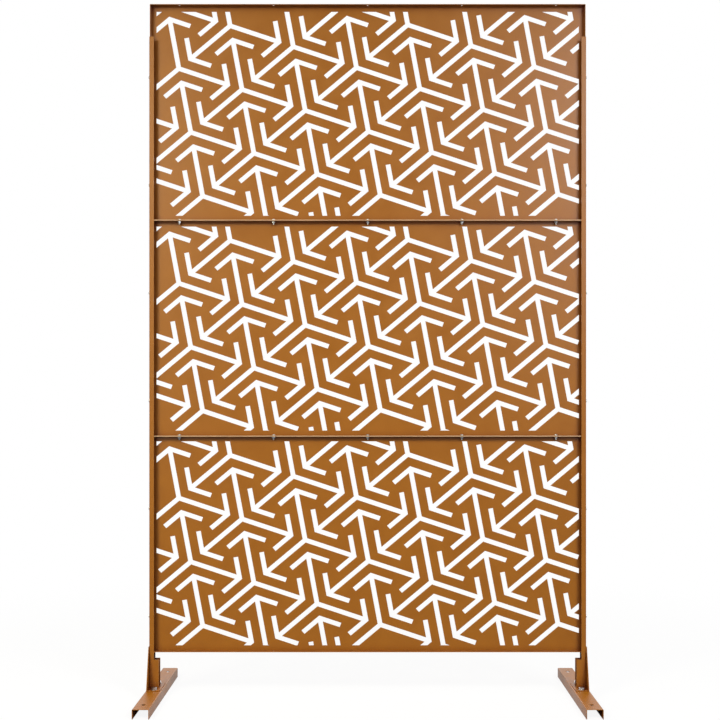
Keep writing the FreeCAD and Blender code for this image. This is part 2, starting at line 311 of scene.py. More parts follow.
print("soft edges up to:", SOFT_EDGE, "slivers below mm:", SLIVER_MM)

# %% [markdown]
# The photograph shows these screws as bright spots a few pixels wide. They are built as M5 pan heads with
# a cross recess, which is a common choice. The dome is a shallow arc that meets the rim in a tight round.

# %% Pan head screw
M5_SIZE, M5_PITCH = 5.0, 0.8
PAN_HEAD, PAN_RISE, PAN_RIM, PAN_EDGE = 9.5, 3.7, 1.7, 0.2
DOME_STEPS, DOME_FULLNESS = 7, 0.8
CROSS_SPAN, CROSS_ARM, CROSS_DEPTH, CROSS_TAPER, CROSS_PAST = 5.0, 1.15, 2.1, 0.55, 0.5
JOINT_SCREW_LENGTH, POST_SCREW_LENGTH = 12.0, 10.0
ROUND_SIDES = 32


def pan_screw(name, length):
    """A pan head screw of a given length below its head."""
    head = PAN_HEAD / 2
    dome = []
    for step in range(1, DOME_STEPS):
        lean = math.pi / 2 * step / DOME_STEPS
        dome.append((head * math.cos(lean) ** DOME_FULLNESS, PAN_RIM + (PAN_RISE - PAN_RIM) * math.sin(lean)))
    profile = shank(M5_SIZE, M5_PITCH, length, chamfer=0.7, tip=0.3, runout=0.8, neck=0.4)
    profile += [(M5_SIZE / 2, 0), (head - PAN_EDGE, 0), (head, PAN_EDGE), (head, PAN_RIM)]
    screw = turned(profile + dome + [(0, PAN_RISE)], ROUND_SIDES)
    return smoothed(cut(screw, cross_punch(), "DIFFERENCE"), name)


def cross_punch():
    """The tapered cross that presses the driver recess."""
    shape = bmesh.new()
    far, near = CROSS_SPAN / 2 * MM, CROSS_ARM / 2 * MM
    outline = [
        (far, near), (near, near), (near, far), (-near, far), (-near, near), (-far, near),
        (-far, -near), (-near, -near), (-near, -far), (near, -far), (near, -near), (far, -near)]
    top = [shape.verts.new((x, y, (PAN_RISE + CROSS_PAST) * MM)) for x, y in outline]
    deep = (PAN_RISE - CROSS_DEPTH) * MM
    foot = [shape.verts.new((x * CROSS_TAPER, y * CROSS_TAPER, deep)) for x, y in outline]
    shape.faces.new(top)
    shape.faces.new(list(reversed(foot)))
    for step in range(len(top)):
        after = (step + 1) % len(top)
        shape.faces.new([foot[step], foot[after], top[after], top[step]])
    return finished(shape)


joint_screw = pan_screw("joint_screw", JOINT_SCREW_LENGTH)
post_screw = pan_screw("post_screw", POST_SCREW_LENGTH)
print("pan screw faces:", len(joint_screw.data.polygons), len(post_screw.data.polygons))

# %% [markdown]
# Nuts and bolt heads are hexagons whose corners are turned off to a cone. Meeting a six-sided prism with
# a turned cone gives the curved chamfer lines that a plain bevel cannot.

# %% Hexagon nuts, bolts and washers
M8_SIZE, M8_PITCH = 8.0, 1.25
CONE_LEAN, CONE_PAST, CONE_SIDES = math.tan(math.radians(30)), 0.2, 48
HEXAGON_END = 0.95
MOUTH, MOUTH_DEPTH, THREAD_PLAY, DRILL_PAST = 0.3, 0.1, 0.1, 1.0
WASHER_SHEET = 1.6


def hexagon(across, rise, both_ends):
    """A six-sided block on its seat with its upper, or both, ends turned to a cone."""
    corner = across / math.sqrt(3)
    block = turned([(0, 0), (corner, 0), (corner, rise), (0, rise)], 6)
    face, wide = HEXAGON_END * across / 2, corner + CONE_PAST
    drop = (wide - face) * CONE_LEAN
    low = [(face, 0), (wide, drop)] if both_ends else [(wide, 0)]
    cone = turned([(0, 0)] + low + [(wide, rise - drop), (face, rise), (0, rise)], CONE_SIDES)
    return cut(block, cone, "INTERSECT")


def nut(name, across, size, pitch, rise):
    """A hexagon nut on its seat, drilled and threaded."""
    mouth = size / 2 + MOUTH
    drill = [(0, -DRILL_PAST), (mouth, -DRILL_PAST), (mouth, 0)]
    drill += thread(size + 2 * THREAD_PLAY, pitch, MOUTH_DEPTH, rise - MOUTH_DEPTH)
    drill += [(mouth, rise), (mouth, rise + DRILL_PAST), (0, rise + DRILL_PAST)]
    return smoothed(cut(hexagon(across, rise, True), turned(drill, ROUND_SIDES), "DIFFERENCE"), name)


def hex_bolt(name, across, rise, size, pitch, length):
    """A hexagon head joined to its threaded shank."""
    profile = shank(size, pitch, length, chamfer=1.0, tip=0.6, runout=4.0, neck=3.4)
    profile += [(size / 2, rise / 2), (0, rise / 2)]
    return smoothed(cut(hexagon(across, rise, False), turned(profile, ROUND_SIDES), "UNION"), name)


def washer(name, outer, inner, thick, edge):
    """A flat washer with two radii, its outer edges taken off."""
    rim = [(outer - edge, 0), (outer, edge), (outer, thick - edge), (outer - edge, thick)]
    disc = turned([(0, 0)] + rim + [(0, thick)], ROUND_SIDES)
    ends = (-DRILL_PAST, thick + DRILL_PAST)
    hole = turned([(0, ends[0]), (inner, ends[0]), (inner, ends[1]), (0, ends[1])], ROUND_SIDES)
    return smoothed(cut(disc, hole, "DIFFERENCE"), name)


screw_nut = nut("screw_nut", across=8.0, size=M5_SIZE, pitch=M5_PITCH, rise=4.7)
bolt_nut = nut("bolt_nut", across=13.0, size=M8_SIZE, pitch=M8_PITCH, rise=6.5)
foot_bolt = hex_bolt("foot_bolt", across=13.0, rise=5.3, size=M8_SIZE, pitch=M8_PITCH, length=20.0)
foot_washer = washer("foot_washer", outer=8.0, inner=4.25, thick=WASHER_SHEET, edge=0.25)
patterns = [joint_screw, post_screw, screw_nut, bolt_nut, foot_bolt, foot_washer]
print({piece.name: len(piece.data.polygons) for piece in patterns})

# %% [markdown]
# What follows a rule is made by a Geometry Nodes tree, so that the rule stays readable and can be changed
# by one number. A tree is run once on an empty piece, and its result is kept as a plain mesh that takes
# the place of a CAD node. Weighted normals let large flat faces stay flat beside a round bend.

# %% Tools that make a tree, run it and hand over the piece
def new_tree(name, inputs):
    """A tree with named inputs: the tree, the identifier of each input and the outputs they give inside."""
    tree = bpy.data.node_groups.new(name, "GeometryNodeTree")
    sockets = {}
    for label, kind in inputs.items():
        sockets[label] = tree.interface.new_socket(label, in_out="INPUT", socket_type=kind).identifier
    tree.interface.new_socket("Geometry", in_out="OUTPUT", socket_type="NodeSocketGeometry")
    return tree, sockets, add_node(tree, "NodeGroupInput").outputs


def dressed(node, tree, sockets, values, flats_lead=False):
    """Runs a tree once, keeps its mesh and lets it stand for a CAD node."""
    piece = bpy.data.objects.new(node + "_dressed", bpy.data.meshes.new(node))
    scene.collection.objects.link(piece)
    modifier = piece.modifiers.new("tree", "NODES")
    modifier.node_group = tree
    for label, value in values.items():
        modifier[sockets[label]] = value
    if flats_lead:
        piece.modifiers.new("flats lead", "WEIGHTED_NORMAL").keep_sharp = True
    depsgraph = bpy.context.evaluated_depsgraph_get()
    mesh = bpy.data.meshes.new_from_object(piece.evaluated_get(depsgraph))
    piece.modifiers.clear()
    piece.data = mesh
    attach(piece, "root")
    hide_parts(node)
    return piece


print("tree tools ready")

# %% [markdown]
# Each panel is one sheet, folded to a tray and cut with three-armed arrow stars. A cube with its front
# face taken out and Solidify would give square folds. Here the blank tray is built from rectangular rings,
# one inside another, that run from the back face round the bend, along the flange, over its rim and back
# to the inside, so that both the outer and the inner bend come out round.

# %% The folded blank
PANEL_WIDTH, PANEL_HEIGHT, PANEL_DEPTH, SHEET = 1200.0, 595.0, 18.0, 1.2
OUTER_BEND, INNER_BEND, BEND_STEPS = 2.2, 1.0, 6
BACK = PANEL_DEPTH / 2


def folded_blank():
    """A closed tray that stands on zero, its floor to the back and its flanges to the front."""
    bend = [math.pi / 2 * step / BEND_STEPS for step in range(BEND_STEPS + 1)]
    rings = [(OUTER_BEND * (1 - math.sin(turn)), BACK - OUTER_BEND * (1 - math.cos(turn))) for turn in bend]
    rings += [(0, -BACK), (SHEET, -BACK)]
    rings += [
        (SHEET + INNER_BEND * (1 - math.sin(turn)), BACK - SHEET - INNER_BEND * (1 - math.cos(turn)))
        for turn in reversed(bend)]
    shape = bmesh.new()
    corners = []
    for inset, y in rings:
        side, low, high = PANEL_WIDTH / 2 - inset, inset, PANEL_HEIGHT - inset
        corners.append([
            shape.verts.new((x * MM, y * MM, z * MM))
            for x, z in ((-side, low), (side, low), (side, high), (-side, high))])
    shape.faces.new(corners[0])
    shape.faces.new(corners[-1])
    for outer, inner in zip(corners, corners[1:]):
        for step in range(len(outer)):
            after = (step + 1) % len(outer)
            shape.faces.new([outer[step], outer[after], inner[after], inner[step]])
    return finished(shape)


blank = folded_blank()
print("blank faces:", len(blank.data.polygons))

# %% [markdown]
# A star has three arms, a third of a turn apart. Each ends in an arrowhead whose two barbs run back beside
# the arm, parallel to the other two arms. The pattern is flattened a little and leans a little, as in the
# photograph, so the star and the lattice go through the same two steps.

# %% One star as a punch
STAR_PITCH, STAR_TILT, STAR_HEIGHT_RATIO, STAR_LEAN = 186.0, 18.8, 0.968, 0.018
CUT_WIDTH, WEB_WIDTH, BARB_GAP = 13.0, 23.4, 31.5
SIXTH_TURN = math.radians(60)
PUNCH_REACH = 2.0


def leaning(x, z):
    """A place in the regular pattern as it lies on the panel."""
    z = z * STAR_HEIGHT_RATIO
    return x + STAR_LEAN * z, z


def star_outline():
    """The corners of one star about its centre, one arm after another."""
    half = CUT_WIDTH / 2
    rise = math.sin(SIXTH_TURN)
    arm = STAR_PITCH - (WEB_WIDTH + CUT_WIDTH) / rise
    barb = arm - STAR_PITCH / 3 - BARB_GAP * 2 / 3
    barb_end = arm - barb / 2
    barb_side = barb * rise
    right = [
        (half / math.tan(SIXTH_TURN), -half),
        (arm - half / math.tan(SIXTH_TURN / 2), -half),
        (barb_end - half * rise, half / 2 - barb_side),
        (barb_end + half * rise, -half / 2 - barb_side)]
    left = [(along, -across) for along, across in reversed(right[1:])]
    outline = []
    for arm_number in range(3):
        angle = 2 * arm_number * SIXTH_TURN - math.radians(STAR_TILT)
        for along, across in right + [(arm + half / rise, 0)] + left:
            outline.append(leaning(
                along * math.cos(angle) - across * math.sin(angle),
                along * math.sin(angle) + across * math.cos(angle)))
    return outline


def star_punch():
    """The star's outline drawn through the sheet, from a little before it to a little behind it."""
    shape = bmesh.new()
    ends = []
    for y in (BACK - SHEET - PUNCH_REACH, BACK + PUNCH_REACH):
        ends.append([shape.verts.new((x * MM, y * MM, z * MM)) for x, z in star_outline()])
        shape.faces.new(ends[-1])
    for step in range(len(ends[0])):
        after = (step + 1) % len(ends[0])
        shape.faces.new([ends[0][step], ends[0][after], ends[1][after], ends[1][step]])
    return finished(shape)


star = star_punch()
print("star corners:", len(star.data.vertices) // 2)

# %% [markdown]
# The tree lays out a three-way lattice by counting steps along two of its ways, sets a punch on every
# point, trims the punches to the plain border and drops the small scraps, most of which the photograph
# leaves uncut. Two that it shows cut belong to stars that are named by their steps. An array of stars
# drawn by hand would look alike, but here the pitch, the tilt and the border stay single numbers.

# %% A node tree that cuts one panel: its inputs
tree, panel_socket, given = new_tree("arrow_panel", {
    "Blank": "NodeSocketObject",
    "Star": "NodeSocketObject",
    "First star": "NodeSocketVector",
    "Step across": "NodeSocketVector",
    "Step up": "NodeSocketVector",
    "Field size": "NodeSocketVector",
    "Field centre": "NodeSocketVector",
    "Star reach": "NodeSocketVector",
    "Smallest cut": "NodeSocketFloat",
    "Smallest scrap": "NodeSocketFloat",
    "Hole radius": "NodeSocketFloat",
    "Meets below": "NodeSocketFloat",
    "Meets above": "NodeSocketFloat",
    "Level": "NodeSocketVector",
    "Finish": "NodeSocketMaterial",
})
panel_tree = tree
LATTICE_REACH, HALF_STEP = 14, 0.5
SCRAP_STARS = ((-1, 0, 0), (3, -3, 0))

punch = add_node(tree, "GeometryNodeObjectInfo", {"Object": given["Star"], "As Instance": True})
block = add_node(tree, "GeometryNodeMeshCube", {"Size": given["Field size"]})
field = add_node(tree, "GeometryNodeTransform", {"Geometry": block, "Translation": given["Field centre"]})
counts = add_node(tree, "GeometryNodeMeshGrid", {
    "Size X": 2 * LATTICE_REACH, "Size Y": 2 * LATTICE_REACH,
    "Vertices X": 2 * LATTICE_REACH + 1, "Vertices Y": 2 * LATTICE_REACH + 1})
position = add_node(tree, "GeometryNodeInputPosition")
nearest = [
    add_node(tree, "ShaderNodeVectorMath", {0: position, 1: steps}, operation="DISTANCE").outputs["Value"]
    for steps in SCRAP_STARS]
nearer = add_node(tree, "ShaderNodeMath", {0: nearest[0], 1: nearest[1]}, operation="MINIMUM")
named = add_node(tree, "ShaderNodeMath", {0: nearer, 1: HALF_STEP}, operation="LESS_THAN")
parted = add_node(tree, "GeometryNodeSeparateGeometry", {
    "Geometry": counts, "Selection": named}, domain="POINT")
print("lattice points:", (2 * LATTICE_REACH + 1) ** 2)


# %% The tree's punches: stars trimmed to the field, and screw holes
def trimmed_stars(steps, smallest):
    """Punches on some of the lattice's points, trimmed to the field and without pieces too small."""
    counted = add_node(tree, "ShaderNodeSeparateXYZ", {0: position}).outputs
    across = add_node(tree, "ShaderNodeVectorMath", {
        "Vector": given["Step across"], "Scale": counted["X"]}, operation="SCALE")
    up = add_node(tree, "ShaderNodeVectorMath", {
        "Vector": given["Step up"], "Scale": counted["Y"]}, operation="SCALE")
    place = add_node(tree, "ShaderNodeVectorMath", {0: across, 1: up}, operation="ADD")
    place = add_node(tree, "ShaderNodeVectorMath", {0: place, 1: given["First star"]}, operation="ADD")
    laid = add_node(tree, "GeometryNodeSetPosition", {"Geometry": steps, "Position": place})
    away = add_node(tree, "ShaderNodeVectorMath", {
        0: position, 1: given["Field centre"]}, operation="SUBTRACT")
    away = add_node(tree, "ShaderNodeVectorMath", {0: away}, operation="ABSOLUTE")
    beyond = add_node(tree, "ShaderNodeVectorMath", {0: away, 1: given["Star reach"]}, operation="SUBTRACT")
    beyond = add_node(tree, "ShaderNodeSeparateXYZ", {0: beyond}).outputs
    outside = add_node(tree, "ShaderNodeMath", {0: beyond["X"], 1: beyond["Z"]}, operation="MAXIMUM")
    kept = add_node(tree, "GeometryNodeDeleteGeometry", {
        "Geometry": laid, "Selection": outside}, domain="POINT")
    set_out = add_node(tree, "GeometryNodeInstanceOnPoints", {
        "Points": kept, "Instance": punch.outputs["Geometry"]})
    real = add_node(tree, "GeometryNodeRealizeInstances", {"Geometry": set_out})
    cut_back = add_node(tree, "GeometryNodeMeshBoolean", {
        1: [real, field]}, operation="INTERSECT", solver="EXACT")
    normal = add_node(tree, "GeometryNodeInputNormal")
    facing = add_node(tree, "ShaderNodeSeparateXYZ", {0: normal}).outputs["Y"]
    front = add_node(tree, "ShaderNodeMath", {0: facing, 1: FACES_FRONT}, operation="LESS_THAN")
    face_area = add_node(tree, "GeometryNodeInputMeshFaceArea")
    front_area = add_node(tree, "ShaderNodeMath", {0: front, 1: face_area}, operation="MULTIPLY")
    island = add_node(tree, "GeometryNodeInputMeshIsland").outputs["Island Index"]
    size = add_node(tree, "GeometryNodeAccumulateField", {
        "Value": front_area, "Group ID": island}, data_type="FLOAT", domain="FACE").outputs["Total"]
    scrap = add_node(tree, "ShaderNodeMath", {0: size, 1: smallest}, operation="LESS_THAN")
    return add_node(tree, "GeometryNodeDeleteGeometry", {
        "Geometry": cut_back, "Selection": scrap}, domain="FACE")


def screw_holes(count, first, step, length, turn):
    """A row of long round punches, all dimensions in millimetres."""
    line = add_node(tree, "GeometryNodeMeshLine", {
        "Count": count, "Start Location": [x * MM for x in first],
        "Offset": [x * MM for x in step]}, mode="OFFSET")
    drill = add_node(tree, "GeometryNodeMeshCylinder", {
        "Vertices": HOLE_SIDES, "Radius": given["Hole radius"], "Depth": length * MM})
    drills = add_node(tree, "GeometryNodeInstanceOnPoints", {
        "Points": line, "Instance": drill, "Rotation": turn})
    return add_node(tree, "GeometryNodeRealizeInstances", {"Geometry": drills})


FACES_FRONT = -0.5
HOLE_SIDES = 24
QUARTER = math.pi / 2
JOINT_SCREWS, JOINT_END_INSET = 5, 80.0
JOINT_FIRST = JOINT_END_INSET - PANEL_WIDTH / 2
JOINT_STEP = (PANEL_WIDTH - 2 * JOINT_END_INSET) / (JOINT_SCREWS - 1)
POST_SCREW_LOW, POST_STEP = 97.5, PANEL_HEIGHT / 2
tools = [
    trimmed_stars(parted.outputs["Inverted"], given["Smallest cut"]),
    trimmed_stars(parted.outputs["Selection"], given["Smallest scrap"]),
    screw_holes(
        JOINT_SCREWS, (JOINT_FIRST, 0, PANEL_HEIGHT / 2), (JOINT_STEP, 0, 0), 2 * PANEL_HEIGHT, (0, 0, 0)),
    screw_holes(2, (0, 0, POST_SCREW_LOW), (0, 0, POST_STEP), 2 * PANEL_WIDTH, (0, QUARTER, 0))]
print("punch groups:", len(tools))

# %% [markdown]
# All punches go through the blank in one boolean. The rims that touch another panel are marked for a painted
# highlight, bends are shaded smooth and every sharper edge stays crisp.

# %% The tree's end: cut, mark the rims for a painted highlight, shade and coat
sheet = add_node(tree, "GeometryNodeObjectInfo", {"Object": given["Blank"]}).outputs["Geometry"]
pierced = add_node(tree, "GeometryNodeMeshBoolean", {
    0: sheet, 1: tools}, operation="DIFFERENCE", solver="EXACT")
axes = add_node(tree, "ShaderNodeSeparateXYZ", {0: position}).outputs
low = add_node(tree, "ShaderNodeMath", {0: axes["Z"], 1: SHEET * MM}, operation="LESS_THAN")
high = add_node(tree, "ShaderNodeMath", {
    0: axes["Z"], 1: (PANEL_HEIGHT - SHEET) * MM}, operation="GREATER_THAN")
low = add_node(tree, "ShaderNodeMath", {0: low, 1: given["Meets below"]}, operation="MULTIPLY")
high = add_node(tree, "ShaderNodeMath", {0: high, 1: given["Meets above"]}, operation="MULTIPLY")
meets = add_node(tree, "ShaderNodeMath", {0: low, 1: high}, operation="MAXIMUM")
rim = add_node(tree, "ShaderNodeMath", {0: axes["Y"], 1: (SHEET / 2 - BACK) * MM}, operation="LESS_THAN")
# Rims that meet another panel are marked, so that the coat paints a highlight on them
highlit_rim = add_node(tree, "ShaderNodeMath", {0: meets, 1: rim}, operation="MULTIPLY")
marked = add_node(tree, "GeometryNodeStoreNamedAttribute", {
    "Geometry": pierced, "Name": "rubbed", "Value": highlit_rim}, data_type="FLOAT", domain="FACE")
raised = add_node(tree, "GeometryNodeTransform", {"Geometry": marked, "Translation": given["Level"]})
fold = add_node(tree, "GeometryNodeInputMeshEdgeAngle")
sharp = add_node(tree, "ShaderNodeMath", {0: fold, 1: SOFT_EDGE}, operation="GREATER_THAN")
soft = add_node(tree, "GeometryNodeSetShadeSmooth", {"Geometry": raised, "Shade Smooth": True}, domain="FACE")
crisp = add_node(tree, "GeometryNodeSetShadeSmooth", {
    "Geometry": soft, "Selection": sharp, "Shade Smooth": False}, domain="EDGE")
real = add_node(tree, "GeometryNodeRealizeInstances", {"Geometry": crisp})
coat = add_node(tree, "GeometryNodeSetMaterial", {"Geometry": real, "Material": given["Finish"]})
add_node(tree, "NodeGroupOutput", {"Geometry": coat})
print("panel tree nodes:", len(tree.nodes))

# %% [markdown]
# The three panels are the same piece at three levels. Only the rims that meet another panel differ.

# %% Cut the three panels
FIRST_STAR_IN, FIRST_STAR_DOWN = 218.8, 53.5
BORDER, STAR_OUT_SIDE, STAR_OUT_EDGE = 15.0, 95.0, 70.0
SMALLEST_CUT_MM2, SMALLEST_SCRAP_MM2 = 290.0, 90.0
SCREW_HOLE = 2.75
FLOOR_GAP = 125.0
LOWER_JOINT = FLOOR_GAP + PANEL_HEIGHT
UPPER_JOINT = LOWER_JOINT + PANEL_HEIGHT
# Each panel's level, and whether it meets a panel below and above
PANELS = {"bottom": (FLOOR_GAP, 0, 1), "middle": (LOWER_JOINT, 1, 1), "top": (UPPER_JOINT, 1, 0)}


def lattice_step(angle):
    """One step of the lattice at an angle to its first way, in metres on the panel."""
    turn = angle - math.radians(STAR_TILT)
    x, z = leaning(STAR_PITCH * math.cos(turn), STAR_PITCH * math.sin(turn))
    return (x * MM, 0, z * MM)


field_x, field_z = PANEL_WIDTH - 2 * BORDER, PANEL_HEIGHT - 2 * BORDER
panels = []
for name, (level, below, above) in PANELS.items():
    panels.append(dressed("panel_" + name, panel_tree, panel_socket, {
        "Blank": blank, "Star": star,
        "First star": ((FIRST_STAR_IN - PANEL_WIDTH / 2) * MM, 0, (PANEL_HEIGHT - FIRST_STAR_DOWN) * MM),
        "Step across": lattice_step(0), "Step up": lattice_step(SIXTH_TURN),
        "Field size": (field_x * MM, 2 * PANEL_DEPTH * MM, field_z * MM),
        "Field centre": (0, PANEL_DEPTH * MM, PANEL_HEIGHT / 2 * MM),
        "Star reach": ((field_x / 2 + STAR_OUT_SIDE) * MM, 0, (field_z / 2 + STAR_OUT_EDGE) * MM),
        "Smallest cut": SMALLEST_CUT_MM2 * MM * MM, "Smallest scrap": SMALLEST_SCRAP_MM2 * MM * MM,
        "Hole radius": SCREW_HOLE * MM, "Meets below": float(below), "Meets above": float(above),
        "Level": (0, 0, level * MM), "Finish": powder_coat}, flats_lead=True))
print("panel faces:", [len(panel.data.polygons) for panel in panels])

# %% [markdown]
# Every fastener on the screen stands in a straight row of even pitch. Rows are what Geometry Nodes do
# best: a line of points, one pattern piece on each, turned to its seat and spun by chance about its own
# axis, as driven screws end up. The seed keeps the chance the same on every run.

# %% A node tree that sets out one row of fasteners
tree, row_socket, given = new_tree("fastener_row", {
    "Fastener": "NodeSocketObject",
    "Count": "NodeSocketInt",
    "First seat": "NodeSocketVector",
    "Step": "NodeSocketVector",
    "Seat turn": "NodeSocketVector",
    "Spin seed": "NodeSocketInt",
    "Finish": "NodeSocketMaterial",
})
row_tree = tree
seats = add_node(tree, "GeometryNodeMeshLine", {
    "Count": given["Count"], "Start Location": given["First seat"], "Offset": given["Step"]}, mode="OFFSET")
pattern = add_node(tree, "GeometryNodeObjectInfo", {"Object": given["Fastener"], "As Instance": True})
placed = add_node(tree, "GeometryNodeInstanceOnPoints", {
    "Points": seats, "Instance": pattern.outputs["Geometry"], "Rotation": given["Seat turn"]})
chance = add_node(tree, "FunctionNodeRandomValue", {
    3: 2 * math.pi, "Seed": given["Spin seed"]}, data_type="FLOAT")
spin = add_node(tree, "ShaderNodeCombineXYZ", {"Z": chance.outputs[1]})
spun = add_node(tree, "GeometryNodeRotateInstances", {
    "Instances": placed, "Rotation": spin, "Local Space": True})
real = add_node(tree, "GeometryNodeRealizeInstances", {"Geometry": spun})
plated = add_node(tree, "GeometryNodeSetMaterial", {"Geometry": real, "Material": given["Finish"]})
add_node(tree, "NodeGroupOutput", {"Geometry": plated})


def fastener_row(node, fastener, count, first, step, turn, seed):
    """Sets out one row, first and step in millimetres, and rides it on the screen."""
    return dressed(node, row_tree, row_socket, {
        "Fastener": fastener, "Count": count, "First seat": [x * MM for x in first],
        "Step": [x * MM for x in step], "Seat turn": turn, "Spin seed": seed, "Finish": zinc})


print("row tree nodes:", len(tree.nodes))

# %% [markdown]
# Joint screws go down through the touching flanges of two panels, five to a joint, with their nuts below.
# Post screws come in from outside through post and panel flange, six to a side, with their nuts inside.
# Two bolts with washers hold each foot, and their nuts sit under the foot's roof.

# %% Set out all the rows
HALF_TURN = math.pi
POST_FIRST, POST_SCREWS, POST_SHEET = FLOOR_GAP + POST_SCREW_LOW, 6, 1.5
FOOT_HEIGHT, FOOT_SHEET, BRACKET_SHEET = 26.0, 1.5, 2.0
BOLT_X, BOLT_STEP = 584.0, 62.0
POST_IN, POST_OUT = PANEL_WIDTH / 2, PANEL_WIDTH / 2 + POST_SHEET
BASE_TOP, FOOT_ROOF = FOOT_HEIGHT + BRACKET_SHEET, FOOT_HEIGHT - FOOT_SHEET
# Each kind of row has a seed of its own, and a foot's washers, bolts and nuts share one
NUT_SEED, POST_SEED, POST_NUT_SEED, FOOT_SEED = 10, 20, 30, 40

rows = []
for number, (joint, level) in enumerate((("lower", LOWER_JOINT), ("upper", UPPER_JOINT))):
    step = (JOINT_STEP, 0, 0)
    rows.append(fastener_row(
        "joint_screws_" + joint, joint_screw, JOINT_SCREWS, (JOINT_FIRST, 0, level + SHEET), step,
        (0, 0, 0), number))
    rows.append(fastener_row(
        "joint_nuts_" + joint, screw_nut, JOINT_SCREWS, (JOINT_FIRST, 0, level - SHEET), step,
        (HALF_TURN, 0, 0), number + NUT_SEED))
for number, (side, sign) in enumerate((("left", -1), ("right", 1))):
    step = (0, 0, POST_STEP)
    rows.append(fastener_row(
        "post_screws_" + side, post_screw, POST_SCREWS, (sign * POST_OUT, 0, POST_FIRST), step,
        (0, sign * QUARTER, 0), number + POST_SEED))
    rows.append(fastener_row(
        "post_nuts_" + side, screw_nut, POST_SCREWS, (sign * (POST_IN - SHEET), 0, POST_FIRST), step,
        (0, -sign * QUARTER, 0), number + POST_NUT_SEED))
    step = (0, BOLT_STEP, 0)
    for name, fastener, height, turn in (
            ("washers", foot_washer, BASE_TOP, 0), ("bolts", foot_bolt, BASE_TOP + WASHER_SHEET, 0),
            ("nuts", bolt_nut, FOOT_ROOF, HALF_TURN)):
        rows.append(fastener_row(
            "foot_" + name + "_" + side, fastener, 2, (sign * BOLT_X, -BOLT_STEP / 2, height), step,
            (turn, 0, 0), number + FOOT_SEED))
for piece in patterns + [blank, star]:
    bpy.data.objects.remove(piece)
print("rows:", len(rows), "faces:", sum(len(row.data.polygons) for row in rows))

# %% [markdown]
# The camera looks level and square at the screen from just below its middle, with a normal lens. The
# frame is shifted up a little, as with a shift lens, so that uprights stay upright.

# %% Camera
LENS_MM, SENSOR_MM = 51.2, 36
SHIFT_ACROSS, SHIFT_UP = -0.0107, 0.0478
CAMERA_BACK, CAMERA_RISE = 2.829, 0.835
camera_data = bpy.data.cameras.new("camera")
camera_data.lens, camera_data.sensor_width = LENS_MM, SENSOR_MM
camera_data.shift_x, camera_data.shift_y = SHIFT_ACROSS, SHIFT_UP
camera = bpy.data.objects.new("camera", camera_data)
camera.location = (0, -CAMERA_BACK, CAMERA_RISE)
camera.rotation_euler = (QUARTER, 0, 0)
scene.collection.objects.link(camera)
scene.camera = camera
print("camera at:", list(camera.location), "lens:", camera_data.lens)

# %% [markdown]
# Two softboxes stand high in front, one on each side. They aim low in front of the feet, so that the
# screen gets the even edge of their beams, and each flange throws a narrow shadow down and inwards. Two
# dim cards lower down give the coat its sheen towards both edges; the left pair is a little warm. One wide
# lamp behind keeps the back from going dark.

# %% Softboxes
KEY_SPREAD, CARD_SPREAD = 120, 180
COOL, WARM = WHITE, "#fff6d6"
# Each lamp's stand, aim and size in metres, its watts, its spread in degrees and its tint
LAMPS = {
    "key_left": ((-1.8, -2.3, 2.3), (-0.5, -0.6, 0.3), (0.8, 0.7), 25, KEY_SPREAD, WARM),
    "key_right": ((1.7, -2.3, 2.5), (0, -0.6, 0.1), (0.8, 0.7), 22, KEY_SPREAD, COOL),
    "card_left": ((-1.6, -3.0, 1.2), (-0.5, 0, 1.0), (0.8, 1.6), 9, CARD_SPREAD, WARM),
    "card_right": ((1.5, -3.0, 1.8), (0.5, 0, 1.3), (0.8, 1.4), 15, CARD_SPREAD, COOL),
    "back": ((0, 2.6, 1.7), (0, 0, 0.9), (2.0, 1.2), 20, CARD_SPREAD, COOL),
}
for name, (stand, aim, size, power, spread, tint) in LAMPS.items():
    data = bpy.data.lights.new(name, "AREA")
    data.shape = "RECTANGLE"
    data.size, data.size_y = size
    data.energy = power
    data.spread = math.radians(spread)
    data.color = linear(tint)[:3]
    lamp = bpy.data.objects.new(name, data)
    lamp.location = stand
    lamp.rotation_euler = (Vector(aim) - Vector(stand)).to_track_quat("-Z", "Y").to_euler()
    lamp.visible_camera = False
    scene.collection.objects.link(lamp)
print("softboxes, watts:", {name: lamp[3] for name, lamp in LAMPS.items()})

# %% [markdown]
# The floor is a sheet of white paper. The camera and the reflections see it as plain white, by Light Path,
# while its matt side takes the light and a faint shadow, and throws little of that light back. Reflections
# of the paper in front are dimmer, as if that side of the studio were dark, and so is the paper under a
# foot's roof.

# %% Paper floor: the sheet
FLOOR_REACH = 40
floor_mesh = bpy.data.meshes.new("floor")
floor_mesh.from_pydata([
    (-FLOOR_REACH, -FLOOR_REACH, 0), (FLOOR_REACH, -FLOOR_REACH, 0),
    (FLOOR_REACH, FLOOR_REACH, 0), (-FLOOR_REACH, FLOOR_REACH, 0)], [], [(0, 1, 2, 3)])
floor = bpy.data.objects.new("floor", floor_mesh)
scene.collection.objects.link(floor)
print("floor reaches:", FLOOR_REACH)

# %% Paper floor: white paper
PAPER_WHITE, PAPER_DIM = "#f4f4f4", "#808080"
PAPER_GLOW, FRONT_GLOW = 0.9, 0.3
# Places on the paper, in metres
NEAR, FAR = 0.8, 2.2
FRONT_END, FRONT_START = -0.3, -0.16
FOOT_HALF, FOOT_REACH, FOOT_MOUTH, MOUTH_SOFT = 0.0205, 0.2, 0.085, 0.02

